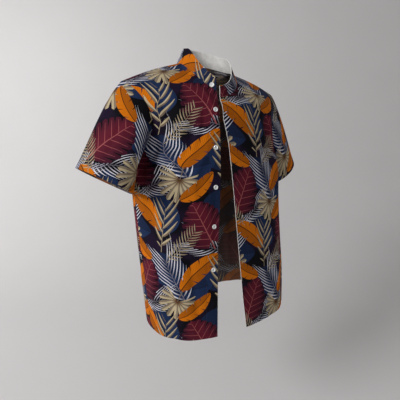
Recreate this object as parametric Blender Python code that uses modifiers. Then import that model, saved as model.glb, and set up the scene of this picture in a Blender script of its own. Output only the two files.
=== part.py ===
"""A short-sleeved shirt with a stand collar, worn open, as the pieces it is sewn from: two fronts, a
back, two sleeves, the collar and six buttons.

Metres, +Z up. +X is the wearer's left and +Y the wearer's back. The origin is the middle of the neck,
level with the inner end of the right shoulder seam, where the wearer holds the shirt up.

A body panel is a loft through its level sections. "across" runs from 0 at the centre line to 1 at the
side edge, and "up" counts the sections from 0 at the hem to 8 at the neckline and shoulder.
"""

from collections import namedtuple
from math import cos, pi, radians, sin

import bpy
import numpy as np
from mathutils import Vector

# ---- Driving dimensions ------------------------------------------------------------------------
CLOTH = 0.0012
COLLAR_CLOTH = 0.0018
SEAM_GAP = 0.0006
MITRE_LIMIT = 0.5

# A section's centre line height and depth, half width, side edge depth and height, how far it turns
# from the centre line to the side edge, how full it is between them, and its sway to the left.
Section = namedtuple("Section", "name z y half_width side_y side_z turn fullness sway")
FRONT_SECTIONS = (
    Section("hem", -0.686, -0.155, 0.219, -0.012, -0.686, 90, 0.06, 0.028),
    Section("hip", -0.568, -0.151, 0.221, -0.008, -0.568, 90, 0.06, 0.021),
    Section("waist", -0.448, -0.146, 0.222, -0.004, -0.448, 90, 0.06, 0.011),
    Section("rib", -0.343, -0.141, 0.221, 0.000, -0.338, 90, 0.06, 0.003),
    Section("armpit", -0.266, -0.136, 0.226, 0.003, -0.256, 88, 0.05, 0.0),
    Section("hole_low", -0.208, -0.130, 0.203, -0.042, -0.203, 70, 0.03, 0.0),
    Section("hole_mid", -0.160, -0.125, 0.190, -0.054, -0.145, 58, 0.02, 0.0),
    Section("hole_high", -0.119, -0.118, 0.208, -0.040, -0.094, 48, 0.02, 0.0),
)
BACK_SECTIONS = (
    Section("hem", -0.686, 0.122, 0.219, -0.012, -0.686, 90, 0.06, 0.028),
    Section("hip", -0.568, 0.127, 0.221, -0.008, -0.568, 90, 0.06, 0.021),
    Section("waist", -0.448, 0.132, 0.222, -0.004, -0.448, 90, 0.06, 0.011),
    Section("rib", -0.343, 0.136, 0.221, 0.000, -0.338, 90, 0.06, 0.003),
    Section("armpit", -0.258, 0.137, 0.226, 0.003, -0.256, 88, 0.05, 0.0),
    Section("hole_low", -0.186, 0.133, 0.204, 0.058, -0.203, 70, 0.03, 0.0),
    Section("hole_mid", -0.116, 0.121, 0.198, 0.074, -0.145, 58, 0.02, 0.0),
    Section("hole_high", -0.054, 0.102, 0.212, 0.055, -0.094, 48, 0.02, 0.0),
)
ARMPIT_UP = 4
SIDE_SEAM_START = 0.7
TOP_UP = len(FRONT_SECTIONS)

# The inner end of the right (-1) and the left (1) shoulder seam, both with x as on the left.
NECK_POINTS = {-1: np.array([0.080, 0.010, 0.0]), 1: np.array([0.080, 0.010, -0.009])}
SHOULDER_TIP = np.array([0.236, 0.010, -0.056])
FRONT_NECK_RIGHT = np.array([0.0, -0.108, -0.089])
FRONT_NECK_LEFT = np.array([-0.036, -0.103, -0.090])
BACK_NECK = np.array([0.0, 0.076, 0.014])
NECK_ACROSS = 0.36
NECK_AXIS = np.array([0.0, -0.014, 0.0])
NECK_RISE_CENTRE = 0.050
NECK_RISE_SIDE = 0.022
NECK_INWARD = 0.055
CORNER_SOFTNESS = 0.13
SHOULDER_STARTS = 0.12
SHOULDER_FULL = 0.70
NECK_POINTEDNESS = 0.95
LEFT_FRONT_POINTEDNESS = 1.25
NECK_DIP = 1.3
SHOULDER_RISE = 0.004

# Where the two front edges hang, by height.
Edge = namedtuple("Edge", "z right left")
FRONT_EDGES = (
    Edge(-0.70, -0.068, 0.024),
    Edge(-0.60, -0.067, 0.010),
    Edge(-0.50, -0.066, 0.000),
    Edge(-0.40, -0.062, -0.010),
    Edge(-0.28, -0.055, -0.021),
    Edge(-0.20, -0.051, -0.027),
    Edge(-0.14, -0.049, -0.038),
    Edge(-0.08, -0.040, -0.035),
)

# A sleeve's hem is an oval with a pointed outer corner, square to the sleeve, hung from that corner.
Sleeve = namedtuple(
    "Sleeve", "name side corner_x corner_y corner_z lean half_width front_depth back_depth"
)
SLEEVES = (
    Sleeve("sleeve_right", -1, 0.357, -0.010, -0.248, 29.5, 0.070, 0.112, 0.066),
    Sleeve("sleeve_left", 1, 0.322, -0.022, -0.260, 37, 0.058, 0.032, 0.094),
)
HEM_POINT = 1.5
CAP_RISE = 0.016
CAP_OUT = 0.35
CAP_UP = 0.65
UNDERARM_OUT = 0.010

# The collar's height and its lean towards the neck, by the share of the way from the middle of the
# back (0) to the right front end (-1) or the left one (1), which has fallen open.
CollarAt = namedtuple("CollarAt", "part height lean")
COLLAR_SHAPE = (
    CollarAt(-1.0, 0.031, 0.005),
    CollarAt(-0.5, 0.037, 0.021),
    CollarAt(0.0, 0.036, 0.010),
    CollarAt(0.4, 0.035, 0.019),
    CollarAt(0.7, 0.033, 0.013),
    CollarAt(1.0, 0.027, 0.004),
)

BUTTON_DIAMETER = 0.0114
BUTTON_THICKNESS = 0.0024
BUTTON_BEVEL = 0.0007
BUTTON_INSET = 0.013
BUTTON_GAP = 0.0004
BUTTON_HEIGHTS = (-0.121, -0.207, -0.300, -0.395, -0.503)
COLLAR_BUTTON_UP = 0.45

# Folds: a straight run between two places on a piece, its depth (a trough is below 0) and half width.
Fold = namedtuple("Fold", "piece across_0 up_0 across_1 up_1 depth half_width")
FOLDS = (
    Fold("front_right", 0.86, 4.9, 0.70, 1.8, -0.009, 0.017),
    Fold("front_right", 0.70, 5.2, 0.58, 3.0, 0.005, 0.016),
    Fold("front_right", 0.56, 2.4, 0.50, 0.0, 0.006, 0.024),
    Fold("front_right", 0.80, 1.6, 0.78, 0.0, 0.006, 0.022),
    Fold("front_left", 0.84, 4.8, 0.72, 2.2, -0.008, 0.018),
    Fold("front_left", 0.52, 4.6, 0.46, 1.9, 0.004, 0.018),
    Fold("front_left", 0.34, 2.6, 0.40, 0.0, 0.007, 0.024),
    Fold("front_left", 0.74, 1.9, 0.70, 0.0, 0.006, 0.022),
    Fold("back", -0.52, 6.4, -0.44, 0.0, 0.007, 0.026),
    Fold("back", -0.28, 4.6, -0.20, 0.0, -0.005, 0.022),
    Fold("back", 0.06, 5.2, 0.08, 1.2, 0.004, 0.026),
    Fold("back", 0.30, 4.0, 0.27, 0.0, -0.006, 0.022),
    Fold("back", 0.50, 6.2, 0.53, 0.0, 0.008, 0.026),
    Fold("back", -0.82, 5.0, -0.76, 1.4, -0.008, 0.019),
    Fold("back", 0.82, 4.9, 0.79, 0.9, -0.007, 0.019),
    Fold("sleeve_right", 0.13, 0.10, 0.17, 0.85, -0.006, 0.014),
    Fold("sleeve_right", 0.30, 0.12, 0.27, 0.70, 0.003, 0.013),
    Fold("sleeve_right", 0.85, 0.10, 0.80, 0.90, -0.006, 0.015),
    Fold("sleeve_left", 0.14, 0.10, 0.18, 0.80, -0.006, 0.014),
    Fold("sleeve_left", 0.83, 0.10, 0.79, 0.90, -0.006, 0.015),
)
FOLD_STEPS = 16
FOLD_END = 0.07
FOLD_FLATNESS = 0.7
SIDE_CALM = 0.10
TOP_CALM = 0.8
SLEEVE_CALM = 0.15

# How finely each piece is divided.
BODY_ROWS = 12
HOLE_ROWS = (3, 3, 3, 5)
FRONT_NECK_COLUMNS = 7
BACK_NECK_COLUMNS = 6
SHOULDER_COLUMNS = 12
SLEEVE_ROWS = 9
COLLAR_ROWS = 3
BUTTON_SIDES = 20
EDGE_SEARCH = (-0.6, 0.9)
EDGE_SEARCH_STEPS = 30
SHARP_ANGLE = radians(50)

SHIRT = "hawaiian_shirt"
CLOTH_COLOR = (0.020, 0.022, 0.050, 1.0)
BUTTON_COLOR = (0.86, 0.85, 0.82, 1.0)


# ---- Body panels -------------------------------------------------------------------------------
def section_points(section, across, side):
    """Points of a section, from the centre line (across 0) to the side edge (across 1)."""
    turn = radians(section.turn)
    angle = turn * across
    swell = 1 + section.fullness * np.sin(pi * across) ** 2
    depth = section.y - section.side_y
    x = section.sway + side * section.half_width * np.sin(angle) / sin(turn) * swell
    y = section.side_y + depth * (np.cos(angle) - cos(turn)) / (1 - cos(turn)) * swell
    z = section.z + (section.side_z - section.z) * across**2
    return np.stack([x, y, z], axis=-1)


def neckline_points(centre, neck_point, pointedness, part):
    """The neckline from its centre point (part 0) to the shoulder seam (part 1)."""
    angle = part * pi / 2
    bow = np.sign(angle) * np.abs(np.sin(angle)) ** pointedness
    x = centre[0] + (neck_point[0] - centre[0]) * bow
    y = neck_point[1] + (centre[1] - neck_point[1]) * np.cos(angle)
    z = neck_point[2] + (centre[2] - neck_point[2]) * np.maximum(np.cos(angle), 0) ** NECK_DIP
    return np.stack([x, y, z], axis=-1)


def top_points(is_front, across, side):
    """A panel's upper edge: half the neckline, then the shoulder seam."""
    part = np.clip(across / NECK_ACROSS, -1, 1)
    neck_point = NECK_POINTS[side]
    if not is_front:
        neck = neckline_points(BACK_NECK, neck_point, NECK_POINTEDNESS, part)
    elif side < 0:
        neck = neckline_points(FRONT_NECK_RIGHT, neck_point, NECK_POINTEDNESS, part)
    else:
        neck = neckline_points(FRONT_NECK_LEFT, neck_point, LEFT_FRONT_POINTEDNESS, part)
    part = np.clip((across - NECK_ACROSS) / (1 - NECK_ACROSS), 0, 1)[:, None]
    seam = neck_point + (SHOULDER_TIP - neck_point) * part
    seam = seam + np.array([0, 0, SHOULDER_RISE]) * np.sin(pi * part)
    points = np.where((across <= NECK_ACROSS)[:, None], neck, seam)
    return points * np.array([side, 1, 1])


def softened_top(is_front, across, side, up):
    """The upper edge as a row below it follows it: its corner at the neck point is rounded off."""
    reach = np.minimum(CORNER_SOFTNESS * (TOP_UP - up), 1 - across)
    return (
        top_points(is_front, across - reach, side) / 4
        + top_points(is_front, across, side) / 2
        + top_points(is_front, across + reach, side) / 4
    )


def smooth_step(value):
    value = np.clip(value, 0, 1)
    return value * value * (3 - 2 * value)


def spline_between(stations, up, last):
    """A smooth curve through the stations; the first and last one only set the end slopes.

    At a station the curve's direction leans towards the shorter of the two steps beside it, but at
    the top it runs straight across the seam.
    """
    step = min(int(up), last - 1)
    part = up - step
    before, start, end, after = stations[step : step + 4]
    reach_in, reach, reach_out = (
        np.linalg.norm(far - near, axis=-1, keepdims=True)
        for near, far in ((before, start), (start, end), (end, after))
    )
    slope = (end - start) / reach
    slope_in = ((start - before) / reach_in * reach + slope * reach_in) / (reach + reach_in)
    slope_out = ((after - end) / reach_out * reach + slope * reach_out) / (reach + reach_out)
    if step == TOP_UP - 1:
        slope_out = (after - start) / (reach + reach_out)
    return (
        start * (2 * part**3 - 3 * part**2 + 1)
        + end * (3 * part**2 - 2 * part**3)
        + slope_in * reach * (part**3 - 2 * part**2 + part)
        + slope_out * reach * (part**3 - part**2)
    )


def neck_slope(neckline, across):
    """How a panel leans past the neckline: upright at its centre, inward beside the neck point."""
    part = np.clip(np.abs(across) / NECK_ACROSS, 0, 1)[:, None]
    inward = (NECK_AXIS - neckline) * np.array([1, 1, 0])
    inward /= np.linalg.norm(inward, axis=1)[:, None]
    rise = NECK_RISE_CENTRE + (NECK_RISE_SIDE - NECK_RISE_CENTRE) * part
    return inward * NECK_INWARD * part + np.array([0, 0, 1]) * rise


def panel_points(is_front, side, across, up):
    """Places on a front, or on one half of the back, at one height."""
    own, other = (FRONT_SECTIONS, BACK_SECTIONS) if is_front else (BACK_SECTIONS, FRONT_SECTIONS)
    stations = [section_points(section, across, side) for section in own]
    stations.append(softened_top(is_front, across, side, up))
    over_the_shoulder = section_points(other[-1], across, side)
    up_the_neck = stations[-1] + neck_slope(stations[-1], across)
    on_shoulder = smooth_step((across - SHOULDER_STARTS) / (SHOULDER_FULL - SHOULDER_STARTS))[:, None]
    stations.append(over_the_shoulder * on_shoulder + up_the_neck * (1 - on_shoulder))
    stations.insert(0, 2 * stations[0] - stations[1])
    if up <= ARMPIT_UP:
        below, armpit, above = stations[ARMPIT_UP : ARMPIT_UP + 3]
        at_side = smooth_step((across - SIDE_SEAM_START) / (1 - SIDE_SEAM_START))[:, None]
        stations[ARMPIT_UP + 2] = above * (1 - at_side) + (2 * armpit - below) * at_side
    return spline_between(stations, up, ARMPIT_UP if up <= ARMPIT_UP else TOP_UP)


def edge_across(side, up):
    """Where the front edge of that side lies at this height."""
    heights = [edge.z for edge in FRONT_EDGES]
    places = [edge.right if side < 0 else edge.left for edge in FRONT_EDGES]
    low, high = EDGE_SEARCH
    for _ in range(EDGE_SEARCH_STEPS):
        middle = (low + high) / 2
        point = panel_points(True, side, np.array([middle]), up)[0]
        past_the_edge = side * (point[0] - np.interp(point[2], heights, places)) > 0
        low, high = (low, middle) if past_the_edge else (middle, high)
    return (low + high) / 2


ROW_UPS = np.concatenate(
    [
        np.linspace(0, ARMPIT_UP, BODY_ROWS + 1),
        *(
            ARMPIT_UP + step + np.linspace(0, 1, count + 1)[1:]
            for step, count in enumerate(HOLE_ROWS)
        ),
    ]
)


def columns(start, neck_columns):
    neck = np.linspace(start, NECK_ACROSS, neck_columns + 1)
    shoulder = np.linspace(NECK_ACROSS, 1, SHOULDER_COLUMNS + 1)
    return np.concatenate([neck, shoulder[1:]])


def front_grid(side):
    """Rows of points from the hem up; in a row, from the front edge to the side seam."""
    acrosses = np.array([columns(edge_across(side, up), FRONT_NECK_COLUMNS) for up in ROW_UPS])
    rows = [panel_points(True, side, across, up) for across, up in zip(acrosses, ROW_UPS)]
    return np.array(rows), acrosses


def back_grid():
    """Rows from the hem up; in a row, from the right side seam to the left one."""
    half = columns(0, BACK_NECK_COLUMNS)
    rows = []
    for up in ROW_UPS:
        right = panel_points(False, -1, half, up)[::-1]
        left = panel_points(False, 1, half, up)[1:]
        rows.append(np.concatenate([right, left]))
    across = np.concatenate([-half[::-1], half[1:]])
    return np.array(rows), np.tile(across, (len(ROW_UPS), 1))


# ---- Sleeves and collar ------------------------------------------------------------------------
def shares_along(points):
    """Share of the way along a run of points, from 0 to 1."""
    steps = np.linalg.norm(np.diff(points, axis=0), axis=1)
    return np.concatenate([[0], np.cumsum(steps)]) / steps.sum()


def sleeve_grid(sleeve, armhole_front, armhole_back):
    """Rings from the armhole to the hem; a ring runs from the armpit up the front, down the back."""
    up_front = shares_along(armhole_front) / 2
    up_back = shares_along(armhole_back) / 2
    around = np.concatenate([up_front[:-1], (1 - up_back)[:0:-1]])
    armhole = np.concatenate([armhole_front[:-1], armhole_back[:0:-1]])
    lean = radians(sleeve.lean)
    inward = np.array([-cos(lean) * sleeve.side, 0, -sin(lean)])
    corner = np.array([sleeve.corner_x * sleeve.side, sleeve.corner_y, sleeve.corner_z])
    angle = (2 * pi * around)[:, None]
    bow = np.sign(np.sin(angle)) * np.abs(np.sin(angle)) ** HEM_POINT
    depth = np.where(bow > 0, sleeve.front_depth, sleeve.back_depth)
    forward = np.array([0, -1, 0]) * depth * bow
    hem = corner + inward * sleeve.half_width * (1 + np.cos(angle)) + forward
    cap = np.clip(-np.cos(angle), 0, 1)
    cap_ease = np.array([CAP_OUT * sleeve.side, 0, CAP_UP]) * CAP_RISE * cap
    underarm = np.clip(np.cos(angle), 0, 1)
    underarm_ease = np.array([sleeve.side, 0, 0]) * UNDERARM_OUT * underarm
    rings = []
    for down in np.linspace(0, 1, SLEEVE_ROWS + 1):
        swell = 4 * down * (1 - down) ** 2
        rings.append(armhole * (1 - down) + hem * down + (cap_ease + underarm_ease) * swell)
    return np.array(rings), np.tile(around, (len(rings), 1))


def collar_grid(neckline):
    """Rows from the neckline seam up; in a row, from the right front round the back to the left."""
    middle = FRONT_NECK_COLUMNS + BACK_NECK_COLUMNS
    to_right = shares_along(neckline[middle::-1])[::-1]
    to_left = shares_along(neckline[middle:])
    part = np.concatenate([-to_right, to_left[1:]])
    at = [shape.part for shape in COLLAR_SHAPE]
    height = np.interp(part, at, [shape.height for shape in COLLAR_SHAPE])[:, None]
    lean = np.interp(part, at, [shape.lean for shape in COLLAR_SHAPE])[:, None]
    away = (neckline - NECK_AXIS) * np.array([1, 1, 0])
    away /= np.linalg.norm(away, axis=1)[:, None]
    step = np.array([0, 0, 1]) * height - away * lean
    return np.array([neckline + step * part for part in np.linspace(0, 1, COLLAR_ROWS + 1)])


# ---- Folds -------------------------------------------------------------------------------------
def grid_normals(grid, outward, is_ring):
    """Unit normals of a grid; outward is 1 or -1, whichever makes them point out of the shirt."""
    if is_ring:
        along = np.roll(grid, -1, axis=1) - np.roll(grid, 1, axis=1)
    else:
        along = np.gradient(grid, axis=1)
    normals = np.cross(along, np.gradient(grid, axis=0)) * outward
    return normals / np.linalg.norm(normals, axis=2)[:, :, None]


def fold_shift(grid, fold_lines):
    """How far each point of a grid moves along its normal."""
    shift = np.zeros(grid.shape[:2])
    for fold, line in fold_lines:
        parts = np.linspace(0, 1, len(line))
        strength = np.sin(pi * (FOLD_END + parts * (1 - 2 * FOLD_END))) ** FOLD_FLATNESS
        distance = np.linalg.norm(grid[:, :, None] - line, axis=3)
        nearest = distance.argmin(axis=2)
        close = np.take_along_axis(distance, nearest[:, :, None], axis=2)[:, :, 0]
        shift += fold.depth * strength[nearest] * np.exp(-((close / fold.half_width) ** 2))
    return shift


def lines_on(piece, grid, acrosses, ups):
    """The middle line of each of a piece's folds, as points of its unfolded grid."""
    lines = []
    for fold in FOLDS:
        if fold.piece != piece:
            continue
        points = []
        for part in np.linspace(0, 1, FOLD_STEPS):
            up = fold.up_0 + (fold.up_1 - fold.up_0) * part
            across = fold.across_0 + (fold.across_1 - fold.across_0) * part
            row_low = int(np.clip(np.searchsorted(ups, up, side="right") - 1, 0, len(ups) - 2))
            blend = (up - ups[row_low]) / (ups[row_low + 1] - ups[row_low])
            pair = [
                [np.interp(across, acrosses[row], grid[row, :, axis]) for axis in range(3)]
                for row in (row_low, row_low + 1)
            ]
            points.append(np.array(pair[0]) * (1 - blend) + np.array(pair[1]) * blend)
        lines.append((fold, np.array(points)))
    return lines


def folded_body(piece, grid, acrosses, outward):
    """A body panel with its folds, which die out at its side, armhole and shoulder seams."""
    normals = grid_normals(grid, outward, False)
    calm = smooth_step((1 - np.abs(acrosses)) / SIDE_CALM)
    calm = calm * smooth_step((TOP_UP - ROW_UPS) / TOP_CALM)[:, None]
    shift = fold_shift(grid, lines_on(piece, grid, acrosses, ROW_UPS)) * calm
    return grid + normals * shift[:, :, None]


def folded_sleeve(piece, grid, arounds, outward):
    """A sleeve with its folds, which die out at the armhole."""
    normals = grid_normals(grid, outward, True)
    downs = np.linspace(0, 1, SLEEVE_ROWS + 1)
    calm = smooth_step(downs / SLEEVE_CALM)[:, None]
    shift = fold_shift(grid, lines_on(piece, grid, arounds, downs)) * calm
    return grid + normals * shift[:, :, None]


# ---- Building the solids -----------------------------------------------------------------------
Piece = namedtuple("Piece", "name grid normals outward is_ring seams wall")


def shared_normals(pieces):
    """One normal for each place where pieces meet, so that their walls are mitred at the seams.

    Where they meet in a sharp inner corner, as at the armpit, each keeps its own.
    """
    sums = {}
    for piece in pieces:
        for point, normal in zip(piece.grid.reshape(-1, 3), piece.normals.reshape(-1, 3)):
            key = tuple(np.round(point, 6))
            sums[key] = sums.get(key, 0) + normal
    result = {}
    for piece in pieces:
        keys = [tuple(np.round(point, 6)) for point in piece.grid.reshape(-1, 3)]
        shared = np.array([sums[key] / np.linalg.norm(sums[key]) for key in keys])
        own = piece.normals.reshape(-1, 3)
        agree = (shared * own).sum(axis=1) > MITRE_LIMIT
        result[piece.name] = np.where(agree[:, None], shared, own).reshape(piece.grid.shape)
    return result


def pulled_back(grid, seams):
    """The grid with its sewn edges drawn back by half the seam gap."""
    moved = grid.copy()
    edges = {
        "first_row": ((0, slice(None)), (1, slice(None))),
        "last_row": ((-1, slice(None)), (-2, slice(None))),
        "first_column": ((slice(None), 0), (slice(None), 1)),
        "last_column": ((slice(None), -1), (slice(None), -2)),
    }
    for seam in seams:
        edge, inner = edges[seam]
        way = grid[inner] - grid[edge]
        moved[edge] += way / np.linalg.norm(way, axis=-1)[..., None] * SEAM_GAP / 2
    return moved


def material(name, color, roughness):
    result = bpy.data.materials.new(name)
    result.use_nodes = True
    shader = result.node_tree.nodes["Principled BSDF"]
    shader.inputs["Base Color"].default_value = color
    shader.inputs["Roughness"].default_value = roughness
    shader.inputs["Metallic"].default_value = 0.0
    result.diffuse_color = color
    return result


def wall_object(piece, normals, collection):
    """A closed wall: the outer skin, the inner skin a cloth's thickness inside, and the cut edges.

    Both skins divide each cell along the same, shorter diagonal, so that they never cross.
    """
    outer = pulled_back(piece.grid, piece.seams)
    inner = outer - normals * piece.wall
    row_count, column_count = outer.shape[:2]
    size = row_count * column_count
    points = np.concatenate([outer.reshape(-1, 3), inner.reshape(-1, 3)])

    def corner(row, column):
        return row * column_count + column % column_count

    faces = []
    steps = column_count if piece.is_ring else column_count - 1
    for row in range(row_count - 1):
        for column in range(steps):
            low_start, low_end = corner(row, column), corner(row, column + 1)
            high_start, high_end = corner(row + 1, column), corner(row + 1, column + 1)
            rising = np.linalg.norm(points[low_start] - points[high_end])
            falling = np.linalg.norm(points[low_end] - points[high_start])
            if rising < falling:
                halves = [(low_start, low_end, high_end), (low_start, high_end, high_start)]
            else:
                halves = [(low_start, low_end, high_start), (low_end, high_end, high_start)]
            for half in halves:
                faces.append(list(half))
                faces.append([size + index for index in reversed(half)])
    rim = [[corner(0, column) for column in range(steps + 1)]]
    rim.append([corner(row_count - 1, column) for column in range(steps, -1, -1)])
    if not piece.is_ring:
        rim.append([corner(row, column_count - 1) for row in range(row_count)])
        rim.append([corner(row, 0) for row in range(row_count - 1, -1, -1)])
    for run in rim:
        for start, end in zip(run, run[1:]):
            faces.append([end, start, size + start, size + end])
    if piece.outward < 0:
        faces = [face[::-1] for face in faces]
    mesh = bpy.data.meshes.new(piece.name)
    mesh.from_pydata(points.tolist(), [], faces)
    mesh.shade_smooth()
    mesh.set_sharp_from_angle(angle=SHARP_ANGLE)
    mesh.materials.append(material(piece.name, CLOTH_COLOR, 0.8))
    result = bpy.data.objects.new(piece.name, mesh)
    collection.objects.link(result)
    return result


def add_button(number, place, normal, collection):
    """A round button that lies just off the cloth."""
    bpy.ops.mesh.primitive_cylinder_add(
        vertices=BUTTON_SIDES, radius=BUTTON_DIAMETER / 2, depth=BUTTON_THICKNESS
    )
    button = bpy.context.object
    button.name = f"button_{number}"
    button.data.name = button.name
    normal = Vector(normal)
    button.location = Vector(place) + normal * (BUTTON_GAP + BUTTON_THICKNESS / 2)
    button.rotation_euler = normal.to_track_quat("Z", "Y").to_euler()
    bevel = button.modifiers.new("rounded rim", "BEVEL")
    bevel.width = BUTTON_BEVEL
    bevel.segments = 2
    bevel.limit_method = "ANGLE"
    button.data.shade_smooth()
    button.data.set_sharp_from_angle(angle=SHARP_ANGLE)
    button.data.materials.append(material(button.name, BUTTON_COLOR, 0.3))
    for owner in button.users_collection:
        owner.objects.unlink(button)
    collection.objects.link(button)


def place_on_column(grid, normals, inset, height):
    """The place at a height on a grid, the inset in from its first column, and the normal there."""
    places = []
    for row, row_normals in zip(grid, normals):
        along = np.concatenate([[0], np.cumsum(np.linalg.norm(np.diff(row, axis=0), axis=1))])
        both = np.concatenate([row, row_normals], axis=1)
        places.append([np.interp(inset, along, both[:, axis]) for axis in range(6)])
    places = np.array(places)
    found = np.array([np.interp(height, places[:, 2], places[:, axis]) for axis in range(6)])
    return found[:3], found[3:] / np.linalg.norm(found[3:])


def build_shirt():
    collection = bpy.data.collections.new(SHIRT)
    bpy.context.scene.collection.children.link(collection)

    fronts = {}
    for name, side in (("front_right", -1), ("front_left", 1)):
        grid, acrosses = front_grid(side)
        fronts[side] = folded_body(name, grid, acrosses, side)
    grid, acrosses = back_grid()
    back = folded_body("back", grid, acrosses, -1)

    front_seams = ("last_column", "last_row")
    back_seams = ("first_column", "last_column", "last_row")
    grids = [
        ("front_right", fronts[-1], -1, False, front_seams, CLOTH),
        ("front_left", fronts[1], 1, False, front_seams, CLOTH),
        ("back", back, -1, False, back_seams, CLOTH),
    ]
    for sleeve in SLEEVES:
        hole_front = fronts[sleeve.side][BODY_ROWS:, -1]
        hole_back = back[BODY_ROWS:, -1 if sleeve.side > 0 else 0]
        grid, arounds = sleeve_grid(sleeve, hole_front, hole_back)
        grid = folded_sleeve(sleeve.name, grid, arounds, -sleeve.side)
        grids.append((sleeve.name, grid, -sleeve.side, True, ("first_row",), CLOTH))
    neck_start = SHOULDER_COLUMNS
    neckline = np.concatenate(
        [
            fronts[-1][-1, : FRONT_NECK_COLUMNS + 1],
            back[-1, neck_start + 1 : neck_start + 2 * BACK_NECK_COLUMNS],
            fronts[1][-1, FRONT_NECK_COLUMNS::-1],
        ]
    )
    grids.append(("collar", collar_grid(neckline), -1, False, ("first_row",), COLLAR_CLOTH))

    pieces = []
    for name, grid, outward, is_ring, seams, wall in grids:
        normals = grid_normals(grid, outward, is_ring)
        pieces.append(Piece(name, grid, normals, outward, is_ring, seams, wall))
    normals = shared_normals(pieces)
    for piece in pieces:
        wall_object(piece, normals[piece.name], collection)

    collar = pieces[-1]
    height = collar.grid[0, 0, 2] * (1 - COLLAR_BUTTON_UP) + collar.grid[-1, 0, 2] * COLLAR_BUTTON_UP
    spots = [place_on_column(collar.grid, collar.normals, BUTTON_INSET, height)]
    for height in BUTTON_HEIGHTS:
        spots.append(place_on_column(pieces[0].grid, pieces[0].normals, BUTTON_INSET, height))
    for number, (place, normal) in enumerate(spots, start=1):
        add_button(number, place, normal, collection)


for item in list(bpy.data.objects):
    bpy.data.objects.remove(item, do_unlink=True)
build_shirt()
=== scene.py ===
"""The looks of a short-sleeved leaf-print shirt with a stand collar, worn open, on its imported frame.

Metres, +Z up. +X is the wearer's left and +Y the wearer's back. The origin is the middle of the neck.
The cloth is thin shells over the same sections as the solids, with finer folds, hems, sewing and print.
In a table of the cloth, "across" runs from 0 at the centre line to 1 at the side edge, or -1 on the
back's right, and "up" counts the sections from 0 at the hem to 8 at the neckline and shoulder. On a sleeve
"across" is the share of the way round, from the armpit up the front, and "up" is the share of the way down
from the armhole.
"""

from collections import namedtuple
from itertools import product
from math import cos, pi, radians, sin

import bpy
import numpy as np
from mathutils import Matrix, Vector


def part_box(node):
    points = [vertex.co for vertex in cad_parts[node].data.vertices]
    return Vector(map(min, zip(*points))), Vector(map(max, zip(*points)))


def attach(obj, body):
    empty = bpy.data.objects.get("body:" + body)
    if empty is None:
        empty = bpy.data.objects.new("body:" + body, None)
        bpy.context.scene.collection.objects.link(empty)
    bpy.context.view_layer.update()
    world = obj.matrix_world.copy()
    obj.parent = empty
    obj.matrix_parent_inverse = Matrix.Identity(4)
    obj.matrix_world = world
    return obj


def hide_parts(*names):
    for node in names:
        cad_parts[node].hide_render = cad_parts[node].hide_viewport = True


# ---- The cut, as in the solids ----
Section = namedtuple("Section", "name z y half_width side_y side_z turn fullness sway")
FRONT_SECTIONS = (
    Section("hem", -0.686, -0.155, 0.219, -0.012, -0.686, 90, 0.06, 0.028),
    Section("hip", -0.568, -0.151, 0.221, -0.008, -0.568, 90, 0.06, 0.021),
    Section("waist", -0.448, -0.146, 0.222, -0.004, -0.448, 90, 0.06, 0.011),
    Section("rib", -0.343, -0.141, 0.221, 0.000, -0.338, 90, 0.06, 0.003),
    Section("armpit", -0.266, -0.136, 0.226, 0.003, -0.256, 88, 0.05, 0.0),
    Section("hole_low", -0.208, -0.130, 0.203, -0.042, -0.203, 70, 0.03, 0.0),
    Section("hole_mid", -0.160, -0.125, 0.190, -0.054, -0.145, 58, 0.02, 0.0),
    Section("hole_high", -0.119, -0.118, 0.208, -0.040, -0.094, 48, 0.02, 0.0),
)
BACK_SECTIONS = (
    Section("hem", -0.686, 0.122, 0.219, -0.012, -0.686, 90, 0.06, 0.028),
    Section("hip", -0.568, 0.127, 0.221, -0.008, -0.568, 90, 0.06, 0.021),
    Section("waist", -0.448, 0.132, 0.222, -0.004, -0.448, 90, 0.06, 0.011),
    Section("rib", -0.343, 0.136, 0.221, 0.000, -0.338, 90, 0.06, 0.003),
    Section("armpit", -0.258, 0.137, 0.226, 0.003, -0.256, 88, 0.05, 0.0),
    Section("hole_low", -0.186, 0.133, 0.204, 0.058, -0.203, 70, 0.03, 0.0),
    Section("hole_mid", -0.116, 0.121, 0.198, 0.074, -0.145, 58, 0.02, 0.0),
    Section("hole_high", -0.054, 0.102, 0.212, 0.055, -0.094, 48, 0.02, 0.0),
)
ARMPIT_UP = 4
SIDE_SEAM_START = 0.7
TOP_UP = len(FRONT_SECTIONS)

# The inner end of the right (-1) and the left (1) shoulder seam, both with x as on the left.
NECK_POINTS = {-1: np.array([0.080, 0.010, 0.0]), 1: np.array([0.080, 0.010, -0.009])}
SHOULDER_TIP = np.array([0.236, 0.010, -0.056])
# The neckline's middle on the right (-1) and left (1) front and on the back, and how pointed it is there.
FRONT_NECKS = {
    -1: (np.array([0.0, -0.108, -0.089]), 0.95),
    1: (np.array([-0.036, -0.103, -0.090]), 1.25),
}
BACK_NECK = (np.array([0.0, 0.076, 0.014]), 0.95)
NECK_ACROSS = 0.36
NECK_DIP = 1.3
SHOULDER_RISE = 0.004
NECK_AXIS = np.array([0.0, -0.014, 0.0])
NECK_RISE_CENTRE = 0.050
NECK_RISE_SIDE = 0.022
NECK_INWARD = 0.055
CORNER_SOFTNESS = 0.13
SHOULDER_STARTS = 0.12
SHOULDER_FULL = 0.70

Edge = namedtuple("Edge", "z right left")
FRONT_EDGES = (
    Edge(-0.70, -0.068, 0.024),
    Edge(-0.60, -0.067, 0.010),
    Edge(-0.50, -0.066, 0.000),
    Edge(-0.40, -0.062, -0.010),
    Edge(-0.28, -0.055, -0.021),
    Edge(-0.20, -0.051, -0.027),
    Edge(-0.14, -0.049, -0.038),
    Edge(-0.08, -0.040, -0.035),
)
EDGE_SEARCH = (-0.6, 0.9)
EDGE_SEARCH_STEPS = 30

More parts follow.
